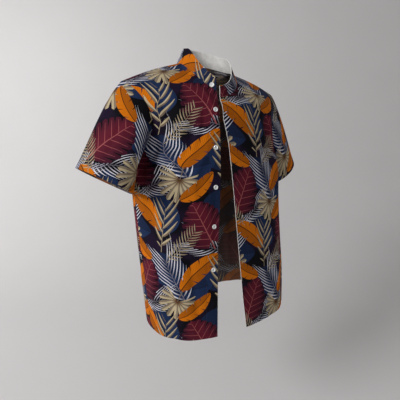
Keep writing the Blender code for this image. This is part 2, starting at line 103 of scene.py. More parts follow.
Sleeve = namedtuple(
    "Sleeve", "name side corner_x corner_y corner_z lean half_width front_depth back_depth"
)
SLEEVES = (
    Sleeve("sleeve_right", -1, 0.357, -0.010, -0.248, 29.5, 0.070, 0.112, 0.066),
    Sleeve("sleeve_left", 1, 0.322, -0.022, -0.260, 37, 0.058, 0.032, 0.094),
)
HEM_POINT = 1.5
CAP_RISE = 0.016
CAP_OUT = 0.35
CAP_UP = 0.65
UNDERARM_OUT = 0.010

CollarAt = namedtuple("CollarAt", "part height lean")
COLLAR_SHAPE = (
    CollarAt(-1.0, 0.031, 0.005),
    CollarAt(-0.5, 0.037, 0.021),
    CollarAt(0.0, 0.036, 0.010),
    CollarAt(0.4, 0.035, 0.019),
    CollarAt(0.7, 0.033, 0.013),
    CollarAt(1.0, 0.027, 0.004),
)

# ---- The cloth ----
CLOTH = 0.0007
HEM_CLOTH = 0.0015
COLLAR_CLOTH = 0.0016
HEM_WIDTH = 0.020
SLEEVE_HEM_WIDTH = 0.022
FACING_WIDTH = 0.030
NECK_COLUMNS = 26
SHOULDER_COLUMNS = 62
SECTION_ROWS = (34, 34, 31, 24, 16, 16, 18, 40)
SLEEVE_ROWS = 60
COLLAR_ROWS = 12
SHARP_ANGLE = radians(55)

# Folds: a straight run between two places on a piece, then its depth and half width in millimetres. A
# trough's depth is below 0.
Fold = namedtuple("Fold", "across_0 up_0 across_1 up_1 depth half_width")
MM = 0.001
FOLDS = {
    "front_right": (
        (0.86, 4.9, 0.70, 1.8, -9.0, 17),
        (0.70, 5.2, 0.58, 3.0, 5.0, 16),
        (0.56, 2.4, 0.50, 0.0, 6.0, 24),
        (0.80, 1.6, 0.78, 0.0, 6.0, 22),
    ),
    "front_left": (
        (0.84, 4.8, 0.72, 2.2, -8.0, 18),
        (0.52, 4.6, 0.46, 1.9, 4.0, 18),
        (0.34, 2.6, 0.40, 0.0, 7.0, 24),
        (0.74, 1.9, 0.70, 0.0, 6.0, 22),
    ),
    "back": (
        (-0.52, 6.4, -0.44, 0.0, 7.0, 26),
        (-0.28, 4.6, -0.20, 0.0, -5.0, 22),
        (0.06, 5.2, 0.08, 1.2, 4.0, 26),
        (0.30, 4.0, 0.27, 0.0, -6.0, 22),
        (0.50, 6.2, 0.53, 0.0, 8.0, 26),
        (-0.82, 5.0, -0.76, 1.4, -8.0, 19),
        (0.82, 4.9, 0.79, 0.9, -7.0, 19),
    ),
    "sleeve_right": (
        (0.13, 0.10, 0.17, 0.85, -6.0, 14),
        (0.30, 0.12, 0.27, 0.70, 3.0, 13),
        (0.85, 0.10, 0.80, 0.90, -6.0, 15),
    ),
    "sleeve_left": (
        (0.14, 0.10, 0.18, 0.80, -6.0, 14),
        (0.83, 0.10, 0.79, 0.90, -6.0, 15),
    ),
}
# Finer creases, with the same columns. The solids leave them out.
CREASES = {
    "front_right": (
        (0.80, 6.3, 0.62, 5.3, -3.2, 6),
        (0.92, 5.6, 0.74, 4.2, -3.9, 7),
        (0.95, 4.3, 0.84, 3.1, 3.2, 6),
        (0.60, 4.4, 0.54, 2.6, -3.5, 9),
        (0.38, 6.9, 0.42, 5.0, -2.8, 8),
        (0.30, 5.2, 0.36, 3.2, 2.7, 9),
        (0.64, 1.4, 0.62, 0.0, -4.3, 10),
        (0.44, 1.9, 0.41, 0.2, -3.2, 9),
        (0.22, 7.6, 0.10, 6.9, -2.1, 5),
        (0.30, 7.7, 0.24, 6.6, 2.1, 6),
        (0.52, 7.2, 0.50, 4.6, -3.7, 9),
        (0.66, 7.3, 0.60, 5.0, 3.4, 10),
        (0.80, 7.2, 0.74, 5.4, -3.9, 9),
        (0.16, 7.4, 0.18, 6.2, -2.2, 6),
        (0.20, 3.6, 0.24, 1.4, -2.7, 11),
    ),
    "front_left": (
        (0.82, 6.2, 0.66, 5.2, -3.2, 6),
        (0.93, 5.5, 0.78, 4.3, -3.9, 7),
        (0.96, 4.2, 0.86, 3.0, 2.8, 6),
        (0.62, 4.1, 0.60, 2.5, -3.5, 9),
        (0.34, 6.8, 0.38, 5.2, -2.4, 8),
        (0.58, 1.6, 0.56, 0.0, -3.9, 10),
        (0.24, 1.5, 0.27, 0.0, -3.2, 9),
        (0.50, 7.1, 0.50, 4.8, -3.7, 9),
        (0.68, 7.2, 0.62, 5.1, 3.2, 10),
        (0.16, 4.2, 0.20, 1.8, -2.7, 11),
    ),
    "back": (
        (-0.93, 5.6, -0.70, 4.4, -3.5, 7),
        (-0.66, 5.7, -0.60, 3.6, 3.2, 8),
        (-0.38, 2.2, -0.34, 0.0, -3.9, 10),
        (-0.12, 2.8, -0.07, 0.4, 3.5, 11),
        (-0.16, 7.5, -0.24, 6.2, -2.4, 7),
        (0.20, 7.4, 0.25, 6.4, -2.4, 7),
        (0.40, 2.4, 0.42, 0.0, -3.9, 10),
        (0.64, 5.4, 0.62, 3.4, 3.2, 8),
        (0.70, 2.4, 0.69, 0.3, -3.2, 9),
        (0.94, 5.5, 0.74, 4.3, -3.5, 7),
        (-0.44, 7.3, -0.50, 5.2, 3.2, 11),
        (0.42, 7.2, 0.46, 5.3, 3.2, 11),
    ),
    "sleeve_right": (
        (0.06, 0.05, 0.10, 0.60, 3.2, 6),
        (0.21, 0.08, 0.23, 0.55, -3.5, 7),
        (0.38, 0.30, 0.36, 0.92, -2.1, 8),
        (0.62, 0.10, 0.66, 0.80, -2.8, 8),
        (0.74, 0.06, 0.72, 0.60, 3.2, 7),
        (0.48, 0.12, 0.46, 0.80, 2.7, 10),
    ),
    "sleeve_left": (
        (0.08, 0.05, 0.11, 0.60, 2.8, 6),
        (0.24, 0.08, 0.25, 0.60, -3.2, 7),
        (0.40, 0.30, 0.38, 0.90, -2.1, 8),
        (0.60, 0.10, 0.63, 0.80, -2.8, 8),
        (0.76, 0.06, 0.72, 0.60, 3.2, 7),
        (0.50, 0.12, 0.48, 0.78, 2.4, 10),
    ),
}
FOLD_STEPS = 16
FOLD_END = 0.07
FOLD_FLATNESS = 0.7
SIDE_CALM = 0.10
TOP_CALM = 0.8
SLEEVE_CALM = 0.15

# Sewing: a line's inset from the edge that it follows, and the stitch's own sizes.
STITCH_LENGTH = 0.0024
STITCH_PITCH = 0.0033
STITCH_RADIUS = 0.00022
# A thread's rings: the place along it, as a share of its length, and the share of its radius.
THREAD_SIDES = 5
THREAD_RINGS = ((-0.5, 0.35), (-0.2, 1.0), (0.2, 1.0), (0.5, 0.35))
EDGE_STITCH = 0.0022
STITCH_DENT = 0.00035
STITCH_DENT_WIDTH = 0.0026
PUCKER = 0.00030
PUCKER_LENGTH = 0.013
PUCKER_WIDTH = 3 * STITCH_DENT_WIDTH
# The puckers' beat drifts by this many radians, at this many radians a metre.
PUCKER_DRIFT = 3
PUCKER_DRIFT_RATE = 41

BUTTON_DIAMETER = 0.0114
BUTTON_THICKNESS = 0.0024
BUTTON_GAP = 0.0001
BUTTON_INSET = 0.013
BUTTONHOLE_LENGTH = 0.014
BUTTONHOLE_WIDTH = 0.0026
BUTTON_HEIGHTS = (-0.121, -0.207, -0.300, -0.395, -0.503)

# ---- The print ----
# Ordinary tropical leaves, tossed in a half-drop: each comes again, mirrored, half a repeat across and
# half a repeat up. A leaf's middle lies at (x, y) and it points along its turn, in degrees.
PRINT_REPEAT = 0.300
Motif = namedtuple("Motif", "kind x y turn length")
MOTIFS = (
    Motif("shade_leaf", 0.070, 0.062, 22, 0.118),
    Motif("shade_leaf", 0.214, 0.052, 114, 0.112),
    Motif("shade_leaf", 0.140, 0.006, -10, 0.090),
    Motif("palm", 0.104, 0.028, 64, 0.128),
    Motif("palm", 0.188, 0.112, 24, 0.100),
    Motif("fan_palm", 0.256, 0.122, 250, 0.096),
    Motif("split_leaf", 0.014, 0.026, 118, 0.108),
    Motif("banana", 0.166, 0.050, 140, 0.128),
    Motif("spray", 0.222, 0.014, 84, 0.104),
    Motif("fern", 0.120, 0.122, 130, 0.095),
    Motif("banana", 0.000, 0.112, 38, 0.100),
)
# Where each piece was cut from the printed cloth: its flat (0, 0) lies here.
CUT_FROM = {
    "front_right": (0.060, 0.020),
    "front_left": (0.130, 0.095),
    "back": (0.020, 0.050),
    "sleeve_right": (0.100, 0.080),
    "sleeve_left": (0.040, 0.070),
    "collar": (0.100, 0.200),
}

# Colours as they look on a screen, red, green and blue from 0 to 255.
INK = (8, 8, 13)
PURPLE = (28, 17, 40)
BLUE = (29, 46, 80)
DEEP_BLUE = (19, 29, 53)
ORANGE = (208, 112, 6)
DARK_ORANGE = (158, 82, 4)
BROWN = (74, 38, 8)
BEIGE = (184, 168, 136)
TAUPE = (112, 98, 84)
WHITE = (214, 214, 224)
GREY = (112, 108, 118)
MAROON = (92, 24, 40)
ROSE = (158, 84, 84)
PLUM = (58, 18, 36)
FACING = (236, 234, 230)
THREAD = (28, 26, 40)
BUTTON_WHITE = (250, 250, 249)
WASHED = (112, 100, 92)
STUDIO = (224, 222, 222)


# ---- The body's shape, as in the solids ----
def section_points(section, across, side):
    turn = radians(section.turn)
    angle = turn * across
    swell = 1 + section.fullness * np.sin(pi * across) ** 2
    depth = section.y - section.side_y
    x = section.sway + side * section.half_width * np.sin(angle) / sin(turn) * swell
    y = section.side_y + depth * (np.cos(angle) - cos(turn)) / (1 - cos(turn)) * swell
    z = section.z + (section.side_z - section.z) * across**2
    return np.stack([x, y, z], axis=-1)


def neckline_points(centre, neck_point, pointedness, part):
    angle = part * pi / 2
    bow = np.sign(angle) * np.abs(np.sin(angle)) ** pointedness
    x = centre[0] + (neck_point[0] - centre[0]) * bow
    y = neck_point[1] + (centre[1] - neck_point[1]) * np.cos(angle)
    z = neck_point[2] + (centre[2] - neck_point[2]) * np.maximum(np.cos(angle), 0) ** NECK_DIP
    return np.stack([x, y, z], axis=-1)


def top_points(is_front, across, side):
    """A panel's upper edge: half the neckline, then the shoulder seam."""
    neck_point = NECK_POINTS[side]
    middle, pointedness = FRONT_NECKS[side] if is_front else BACK_NECK
    neck = neckline_points(middle, neck_point, pointedness, np.clip(across / NECK_ACROSS, -1, 1))
    part = np.clip((across - NECK_ACROSS) / (1 - NECK_ACROSS), 0, 1)[:, None]
    seam = neck_point + (SHOULDER_TIP - neck_point) * part
    seam = seam + np.array([0, 0, SHOULDER_RISE]) * np.sin(pi * part)
    points = np.where((across <= NECK_ACROSS)[:, None], neck, seam)
    return points * np.array([side, 1, 1])


def softened_top(is_front, across, side, up):
    """The upper edge as a row below it follows it: its corner at the neck point is rounded off."""
    reach = np.minimum(CORNER_SOFTNESS * (TOP_UP - up), 1 - across)
    return (
        top_points(is_front, across - reach, side) / 4
        + top_points(is_front, across, side) / 2
        + top_points(is_front, across + reach, side) / 4
    )


def unit(vectors):
    return vectors / np.linalg.norm(vectors, axis=-1, keepdims=True)


def smooth_step(value):
    value = np.clip(value, 0, 1)
    return value * value * (3 - 2 * value)


def spline_between(stations, up, last):
    """A smooth curve through the stations; the first and last one only set the end slopes."""
    step = min(int(up), last - 1)
    part = up - step
    before, start, end, after = stations[step : step + 4]
    reach_in, reach, reach_out = (
        np.linalg.norm(far - near, axis=-1, keepdims=True)
        for near, far in ((before, start), (start, end), (end, after))
    )
    slope = (end - start) / reach
    slope_in = ((start - before) / reach_in * reach + slope * reach_in) / (reach + reach_in)
    slope_out = ((after - end) / reach_out * reach + slope * reach_out) / (reach + reach_out)
    if step == TOP_UP - 1:
        slope_out = (after - start) / (reach + reach_out)
    return (
        start * (2 * part**3 - 3 * part**2 + 1)
        + end * (3 * part**2 - 2 * part**3)
        + slope_in * reach * (part**3 - 2 * part**2 + part)
        + slope_out * reach * (part**3 - part**2)
    )


def neck_slope(neckline, across):
    part = np.clip(np.abs(across) / NECK_ACROSS, 0, 1)[:, None]
    inward = unit((NECK_AXIS - neckline) * np.array([1, 1, 0]))
    rise = NECK_RISE_CENTRE + (NECK_RISE_SIDE - NECK_RISE_CENTRE) * part
    return inward * NECK_INWARD * part + np.array([0, 0, 1]) * rise


def panel_points(is_front, side, across, up):
    """Places on a front, or on one half of the back, at one height."""
    own, other = (FRONT_SECTIONS, BACK_SECTIONS) if is_front else (BACK_SECTIONS, FRONT_SECTIONS)
    stations = [section_points(section, across, side) for section in own]
    stations.append(softened_top(is_front, across, side, up))
    over_the_shoulder = section_points(other[-1], across, side)
    up_the_neck = stations[-1] + neck_slope(stations[-1], across)
    on_shoulder = smooth_step((across - SHOULDER_STARTS) / (SHOULDER_FULL - SHOULDER_STARTS))[:, None]
    stations.append(over_the_shoulder * on_shoulder + up_the_neck * (1 - on_shoulder))
    stations.insert(0, 2 * stations[0] - stations[1])
    if up <= ARMPIT_UP:
        below, armpit, above = stations[ARMPIT_UP : ARMPIT_UP + 3]
        at_side = smooth_step((across - SIDE_SEAM_START) / (1 - SIDE_SEAM_START))[:, None]
        stations[ARMPIT_UP + 2] = above * (1 - at_side) + (2 * armpit - below) * at_side
    return spline_between(stations, up, ARMPIT_UP if up <= ARMPIT_UP else TOP_UP)


def edge_across(side, up):
    """Where the front edge of that side lies at this height."""
    heights = [edge.z for edge in FRONT_EDGES]
    places = [edge.right if side < 0 else edge.left for edge in FRONT_EDGES]
    low, high = EDGE_SEARCH
    for _ in range(EDGE_SEARCH_STEPS):
        middle = (low + high) / 2
        point = panel_points(True, side, np.array([middle]), up)[0]
        past_the_edge = side * (point[0] - np.interp(point[2], heights, places)) > 0
        low, high = (low, middle) if past_the_edge else (middle, high)
    return (low + high) / 2


ROW_UPS = np.concatenate(
    [[0.0]] + [step + np.linspace(0, 1, rows + 1)[1:] for step, rows in enumerate(SECTION_ROWS)]
)
ARMPIT_ROW = sum(SECTION_ROWS[:ARMPIT_UP])


def columns(start):
    neck = np.linspace(start, NECK_ACROSS, NECK_COLUMNS + 1)
    shoulder = np.linspace(NECK_ACROSS, 1, SHOULDER_COLUMNS + 1)
    return np.concatenate([neck, shoulder[1:]])


def front_grid(side):
    acrosses = np.array([columns(edge_across(side, up)) for up in ROW_UPS])
    rows = [panel_points(True, side, across, up) for across, up in zip(acrosses, ROW_UPS)]
    return np.array(rows), acrosses


def back_grid():
    half = columns(0)
    rows = []
    for up in ROW_UPS:
        right = panel_points(False, -1, half, up)[::-1]
        left = panel_points(False, 1, half, up)[1:]
        rows.append(np.concatenate([right, left]))
    across = np.concatenate([-half[::-1], half[1:]])
    return np.array(rows), np.tile(across, (len(ROW_UPS), 1))


def shares_along(points):
    steps = np.linalg.norm(np.diff(points, axis=0), axis=1)
    return np.concatenate([[0], np.cumsum(steps)]) / steps.sum()


def sleeve_grid(sleeve, armhole_front, armhole_back):
    """Rings from the armhole to the hem; a ring runs from the armpit up the front, down the back."""
    up_front = shares_along(armhole_front) / 2
    up_back = shares_along(armhole_back) / 2
    around = np.concatenate([up_front[:-1], (1 - up_back)[:0:-1]])
    armhole = np.concatenate([armhole_front[:-1], armhole_back[:0:-1]])
    lean = radians(sleeve.lean)
    inward = np.array([-cos(lean) * sleeve.side, 0, -sin(lean)])
    corner = np.array([sleeve.corner_x * sleeve.side, sleeve.corner_y, sleeve.corner_z])
    angle = (2 * pi * around)[:, None]
    bow = np.sign(np.sin(angle)) * np.abs(np.sin(angle)) ** HEM_POINT
    depth = np.where(bow > 0, sleeve.front_depth, sleeve.back_depth)
    forward = np.array([0, -1, 0]) * depth * bow
    hem = corner + inward * sleeve.half_width * (1 + np.cos(angle)) + forward
    cap, underarm = np.clip(-np.cos(angle), 0, 1), np.clip(np.cos(angle), 0, 1)
    ease = np.array([CAP_OUT * sleeve.side, 0, CAP_UP]) * CAP_RISE * cap
    ease = ease + np.array([sleeve.side, 0, 0]) * UNDERARM_OUT * underarm
    down = np.linspace(0, 1, SLEEVE_ROWS + 1)[:, None, None]
    rings = armhole * (1 - down) + hem * down + ease * (4 * down * (1 - down) ** 2)
    return rings, np.tile(around, (len(rings), 1))


def collar_grid(neckline):
    """Rows from the neckline seam up; in a row, from the right front round the back to the left."""
    middle = 2 * NECK_COLUMNS
    to_right = shares_along(neckline[middle::-1])[::-1]
    to_left = shares_along(neckline[middle:])
    part = np.concatenate([-to_right, to_left[1:]])
    at = [shape.part for shape in COLLAR_SHAPE]
    height = np.interp(part, at, [shape.height for shape in COLLAR_SHAPE])[:, None]
    lean = np.interp(part, at, [shape.lean for shape in COLLAR_SHAPE])[:, None]
    away = unit((neckline - NECK_AXIS) * np.array([1, 1, 0]))
    step = np.array([0, 0, 1]) * height - away * lean
    return np.array([neckline + step * part for part in np.linspace(0, 1, COLLAR_ROWS + 1)])


# ---- Folds, hems and the flat cut ----
def grid_normals(grid, outward, is_ring):
    if is_ring:
        along = np.roll(grid, -1, axis=1) - np.roll(grid, 1, axis=1)
    else:
        along = np.gradient(grid, axis=1)
    return unit(np.cross(along, np.gradient(grid, axis=0)) * outward)


def read_at(place, at, values):
    """Rows of values, read at a place between the places that they stand for."""
    return np.stack([np.interp(place, at, column) for column in values.T], axis=-1)


def fold_line(fold, grid, acrosses, ups):
    """The middle line of a fold, as points of the piece's unfolded grid."""
    points = []
    for part in np.linspace(0, 1, FOLD_STEPS):
        up = fold.up_0 + (fold.up_1 - fold.up_0) * part
        across = fold.across_0 + (fold.across_1 - fold.across_0) * part
        row = int(np.clip(np.searchsorted(ups, up, side="right") - 1, 0, len(ups) - 2))
        points.append(read_at(across, acrosses[row], grid[row]))
    return np.array(points)


def distance_to_run(grid, run):
    """Distance of each point of a grid from a run of points, and how far along it the nearest is."""
    best = np.full(grid.shape[:2], np.inf)
    share = np.zeros(grid.shape[:2])
    for index, (start, end) in enumerate(zip(run, run[1:])):
        way = end - start
        part = np.clip(((grid - start) @ way) / (way @ way), 0, 1)
        distance = np.linalg.norm(grid - start - part[:, :, None] * way, axis=2)
        nearer = distance < best
        best = np.where(nearer, distance, best)
        share = np.where(nearer, (index + part) / (len(run) - 1), share)
    return best, share


def fold_shift(name, grid, acrosses, ups):
    """How far each point of a piece moves along its normal, for its folds and creases."""
    shift = np.zeros(grid.shape[:2])
    for row in FOLDS[name] + CREASES[name]:
        fold = Fold(*row)
        distance, share = distance_to_run(grid, fold_line(fold, grid, acrosses, ups))
        strength = np.sin(pi * (FOLD_END + share * (1 - 2 * FOLD_END))) ** FOLD_FLATNESS
        shift += fold.depth * MM * strength * np.exp(-((distance / (fold.half_width * MM)) ** 2))
    return shift


def body_calm(acrosses):
    calm = smooth_step((1 - np.abs(acrosses)) / SIDE_CALM)
    return calm * smooth_step((TOP_UP - ROW_UPS) / TOP_CALM)[:, None]


def sewn_dent(distance, along):
    """The shallow dent and puckers that a line of stitches leaves."""
    near = np.exp(-((distance / STITCH_DENT_WIDTH) ** 2))
    wide = np.exp(-((distance / PUCKER_WIDTH) ** 2))
    drift = PUCKER_DRIFT * np.sin(along * PUCKER_DRIFT_RATE)
    waves = np.sin(2 * pi * along / PUCKER_LENGTH + drift)
    return -STITCH_DENT * near + PUCKER * wide * waves


def flat_cut(grid, start_column, is_ring):
    """Where a piece's points lie in its flat cloth: distance from a column, and height up it.

    A ring's cut has one column more than its grid, for the far side of its seam.
    """
    if is_ring:
        grid = np.concatenate([grid, grid[:, :1]], axis=1)
    steps_up = np.linalg.norm(np.diff(grid, axis=0), axis=2)
    height = np.concatenate([np.zeros((1, grid.shape[1])), np.cumsum(steps_up, axis=0)])
    way = unit(np.gradient(grid, axis=0))
    steps = np.diff(grid, axis=1)
    slip = (steps * way[:, :-1]).sum(axis=2)
    widths = np.sqrt(np.maximum((steps**2).sum(axis=2) - slip**2, 0))
    across = np.concatenate([np.zeros((grid.shape[0], 1)), np.cumsum(widths, axis=1)], axis=1)
    across -= across[:, start_column : start_column + 1]
    return np.stack([across, height], axis=2)


# ---- Meshes ----
Cloth = namedtuple("Cloth", "name grid flat outward is_ring wall")


def add_object(name, data):
    item = bpy.data.objects.new(name, data)
    bpy.context.scene.collection.objects.link(item)
    return item


def link(name, mesh, replaced=()):
    piece = add_object(name, mesh)
    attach(piece, "root")
    for node in replaced:
        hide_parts(node)
    return piece


def shell(cloth, outside, inside, rim):
    """A thin closed shell, with one material outside, one inside and one on its edges."""
    grid, flat = cloth.grid, cloth.flat + np.array(CUT_FROM[cloth.name])
    inner = grid - grid_normals(grid, cloth.outward, cloth.is_ring) * cloth.wall[:, :, None]
    points = np.concatenate([grid.reshape(-1, 3), inner.reshape(-1, 3)])
    size = grid.shape[0] * grid.shape[1]
    index = np.arange(size).reshape(grid.shape[:2])
    edges = [(np.s_[0, :-1], np.s_[0, 1:]), (np.s_[-1, 1:], np.s_[-1, :-1])]
    if cloth.is_ring:
        index = np.concatenate([index, index[:, :1]], axis=1)
    else:
        edges += [(np.s_[:-1, -1], np.s_[1:, -1]), (np.s_[1:, 0], np.s_[:-1, 0])]

    def cells(values):
        around = [values[:-1, :-1], values[:-1, 1:], values[1:, 1:], values[1:, :-1]]
        return np.stack(around, axis=2).reshape(-1, 4, *values.shape[2:])

    faces = [cells(index), cells(index)[:, ::-1] + size]
    flats = [cells(flat), cells(flat)[:, ::-1]]
    for start, end in edges:
        a, b = index[start], index[end]
        faces.append(np.stack([b, a, a + size, b + size], axis=1))
        flats.append(np.stack([flat[end], flat[start], flat[start], flat[end]], axis=1))
    slots = np.repeat([0, 1] + [2] * len(edges), [len(part) for part in faces])
    turn = -1 if cloth.outward < 0 else 1
    mesh = bpy.data.meshes.new(cloth.name)
    mesh.from_pydata(points.tolist(), [], np.concatenate(faces)[:, ::turn].tolist())
    mesh.uv_layers.new(name="cloth").data.foreach_set("uv", np.concatenate(flats)[:, ::turn].reshape(-1))
    for material in (outside, inside, rim):
        mesh.materials.append(material)
    mesh.polygons.foreach_set("material_index", slots)
    mesh.shade_smooth()
    mesh.set_sharp_from_angle(angle=SHARP_ANGLE)
    mesh.update()
    return mesh


# In a run each row is a point of the cloth and its normal.
def surface(cloth):
    """The cloth's points, each with its normal, and with a ring's first column again at its end."""
    normals = grid_normals(cloth.grid, cloth.outward, cloth.is_ring)
    both = np.concatenate([cloth.grid, normals], axis=2)
    return np.concatenate([both, both[:, :1]], axis=1) if cloth.is_ring else both


def line_at_height(cloth, height):
    """The run across a piece that lies at one height of its flat cut."""
    both = surface(cloth)
    run = []
    for column in range(both.shape[1]):
        heights = cloth.flat[:, column, 1]
        order = np.argsort(heights)
        run.append(read_at(height, heights[order], both[order, column]))
    return np.array(run)


def line_at_inset(cloth, inset, low=0.0, high=np.inf):
    """The run up a front that lies one inset from its front edge."""
    run = []
    for points, flat in zip(surface(cloth), cloth.flat):
        away = np.abs(flat[:, 0])
        if low <= np.interp(inset, away, flat[:, 1]) <= high:
            run.append(read_at(inset, away, points))
    return np.array(run)


def new_mesh(name, points, faces):
    mesh = bpy.data.meshes.new(name)
    mesh.from_pydata([tuple(point) for point in points], [], faces)
    return mesh


def ring_faces(first, ring_count, sides):
    """The faces between rings of points that follow each other, from a first point on."""
    faces = []
    for start in range(first, first + (ring_count - 1) * sides, sides):
        for side in range(sides):
            a, b = start + side, start + (side + 1) % sides
            faces.append([a, a + sides, b + sides, b])
    return faces


# A thread lies along its way, on cloth with its normal.
Thread = namedtuple("Thread", "middle way normal length")


def stitches_along(run):
    """Stitches at even steps along a run."""
    steps = np.linalg.norm(np.diff(run[:, :3], axis=0), axis=1)
    lengths = np.concatenate([[0], np.cumsum(steps)])
    at = np.arange(STITCH_PITCH / 2, lengths[-1] - STITCH_PITCH / 2, STITCH_PITCH)
    start, middle, end = (
        read_at(at + step, lengths, run) for step in (-STITCH_LENGTH / 2, 0, STITCH_LENGTH / 2)
    )
    ways, normals = unit((end - start)[:, :3]), unit(middle[:, 3:])
    return [Thread(*row, STITCH_LENGTH) for row in zip(middle[:, :3], ways, normals)]


def add_threads(name, threads, material, radius=STITCH_RADIUS):
    """A piece of separate threads, each a small closed spindle."""
    points, faces = [], []
    for thread in threads:
        beside = unit(np.cross(thread.way, thread.normal))
        first = len(points)
        for along, size in THREAD_RINGS:
            for side in range(THREAD_SIDES):
                angle = 2 * pi * side / THREAD_SIDES
                reach = (beside * cos(angle) + thread.normal * sin(angle)) * radius * size
                points.append(thread.middle + thread.way * along * thread.length + reach)
        last = len(points) - THREAD_SIDES
        faces += ring_faces(first, len(THREAD_RINGS), THREAD_SIDES)
        faces.append(list(range(first, first + THREAD_SIDES)))
        faces.append(list(range(last, last + THREAD_SIDES))[::-1])
    mesh = new_mesh(name, points, faces)
    mesh.materials.append(material)
    mesh.shade_smooth()
    link(name, mesh)


# ---- Materials ----
def linear(colour):
    """A screen colour as the linear light that shader sockets take."""
    parts = np.array(colour) / 255
    parts = np.where(parts <= 0.04045, parts / 12.92, ((parts + 0.055) / 1.055) ** 2.4)
    return (*parts.tolist(), 1.0)


def fill(tree, socket, value):
    """Give a socket its value: a number, a screen colour, a Number or another socket."""
    if isinstance(value, Number):
        value = value.socket
    if isinstance(value, bpy.types.NodeSocket):
        tree.links.new(value, socket)
    else:
        socket.default_value = linear(value) if isinstance(value, tuple) else value


def add_node(tree, kind, **inputs):
    """A new node with its inputs' values; an input's name has _ for a space."""
    node = tree.nodes.new(f"ShaderNode{kind}")
    for name, value in inputs.items():
        fill(tree, node.inputs[name.replace("_", " ")], value)
    return node


def mixed(tree, share, first, second):
    """A blend of two colours, in which share is the second's part."""
    node = add_node(tree, "Mix")
    node.data_type = "RGBA"
    fill(tree, node.inputs["Factor"], share)
    sockets = [socket for socket in node.inputs if socket.type == "RGBA"]
    for socket, colour in zip(sockets, (first, second)):
        fill(tree, socket, colour)
    return [socket for socket in node.outputs if socket.type == "RGBA"][0]


def operator(operation):
    """A method of Number that adds one math node."""
    return lambda number, *others: number.math(operation, *others)


class Number:
    """A value in a node tree that adds, multiplies and compares like a Python number."""

    def __init__(self, tree, socket):
        self.tree = tree
        self.socket = socket

    def math(self, operation, *others):
        node = self.tree.nodes.new("ShaderNodeMath")
        node.operation = operation
        for socket, value in zip(node.inputs, (self, *others)):
            fill(self.tree, socket, value)
        return Number(self.tree, node.outputs[0])

    __add__ = __radd__ = operator("ADD")
    __sub__ = operator("SUBTRACT")
    __mul__ = __rmul__ = operator("MULTIPLY")
    __truediv__ = operator("DIVIDE")
    __pow__ = operator("POWER")
    __abs__ = operator("ABSOLUTE")
    under = operator("LESS_THAN")
    over = operator("GREATER_THAN")
    at_least = operator("MAXIMUM")
    fraction = operator("FRACT")
    whole = operator("FLOOR")
    angle_from = operator("ARCTAN2")
    sine = operator("SINE")
    root = operator("SQRT")

    def __rsub__(self, other):
        return self * -1.0 + other

    def wrapped(self, half):
        return self.math("WRAP", half, -half)

    def between(self, low, high):
        return self.over(low) * self.under(high)

    def ramp(self, low, high):
        """0 at low and below, 1 at high and above, eased between."""
        node = add_node(self.tree, "MapRange", Value=self, From_Min=low, From_Max=high)
        node.interpolation_type = "SMOOTHSTEP"
        return Number(self.tree, node.outputs["Result"])

    def mix(self, first, second):
        return mixed(self.tree, self, first, second)


def new_group(name, inputs, outputs):
    """An empty node group with the places where its inputs come in and its outputs go out."""
    tree = bpy.data.node_groups.new(name, "ShaderNodeTree")
    for way, sockets in (("INPUT", inputs), ("OUTPUT", outputs)):
        for socket, kind in sockets.items():
            tree.interface.new_socket(socket, in_out=way, socket_type=f"NodeSocket{kind}")
    return tree, tree.nodes.new("NodeGroupInput").outputs, tree.nodes.new("NodeGroupOutput").inputs


def motif_group(kind, draw):
    """A node group that takes a place in a motif's own frame and gives its colour and where it is."""
    tree, inputs, outputs = new_group(
        kind, {"Along": "Float", "Beside": "Float"}, {"Color": "Color", "Mask": "Float"}
    )
    colour, mask = draw(Number(tree, inputs["Along"]), Number(tree, inputs["Beside"]))
    fill(tree, outputs["Color"], colour)
    fill(tree, outputs["Mask"], mask)
    return tree


def parts_of(tree, place):
    split = add_node(tree, "SeparateXYZ", Vector=place)
    return Number(tree, split.outputs["X"]), Number(tree, split.outputs["Y"])


def noise(tree, place, scale, distortion=0.0):
    node = add_node(tree, "TexNoise", Vector=place, Scale=scale, Distortion=distortion)
    return Number(tree, node.outputs["Fac"])


# A drawing takes a place along a leaf, 0 at its foot and 1 at its tip, and beside it, to the same
# scale, and gives the leaf's colour there and whether it is there. A share is 0 at its middle line and
# 1 at its edge.
def oval(along, foot, tip, width):
    """A leaf's half width; the powers at its foot and its tip are small where they are blunt."""
    return (along.at_least(0.0) ** foot) * ((1.0 - along).at_least(0.0) ** tip) * width


# A frond's leaflets leave its stem at a slant, which grows towards its tip, and curl forward. Spread is
# the longest reach to a side and width the share of the gap that a leaflet fills.
Frond = namedtuple("Frond", "leaflets slant fanning curl spread width stem")
PALM = Frond(11, 0.34, 1.15, 0.70, 0.32, 0.38, 0.009)
FERN = Frond(12, 0.24, 0.60, 0.50, 0.24, 0.46, 0.008)
SPRAY = Frond(5, 0.50, 0.90, 0.55, 0.30, 0.56, 0.010)


def leaflets(along, beside, style):
    """A frond's mask, the share of the way to the leaflets' tips, and which half of a leaflet it is."""
    away = abs(beside)
    start = along - away * (along * style.fanning + style.slant) - away * away * style.curl
    count = start * style.leaflets + beside.over(0.0) * 0.5
    uneven = (count.whole() * 2.4 + beside.over(0.0)).sine() * 0.08 + 0.94
    reach = ((start + 0.06) * (1.05 - start)).at_least(0.0001).root() * uneven * (2 * style.spread)
    part = away / reach
    half = count.fraction() - 0.5
    mask = (abs(half) * 2.0).under(oval(part, 0.6, 0.8, 2.4 * style.width)) * start.between(0.02, 0.98)
    stem = away.under((1.0 - along * 0.7) * style.stem) * along.between(-0.10, 0.97)
    return mask.at_least(stem), part, half


def draw_palm(along, beside):
    """A feather palm's frond, both sides alike, pale towards its tips."""
    mask, part, _ = leaflets(along, beside, PALM)
    return part.ramp(0.0, 0.6).mix(GREY, WHITE), mask


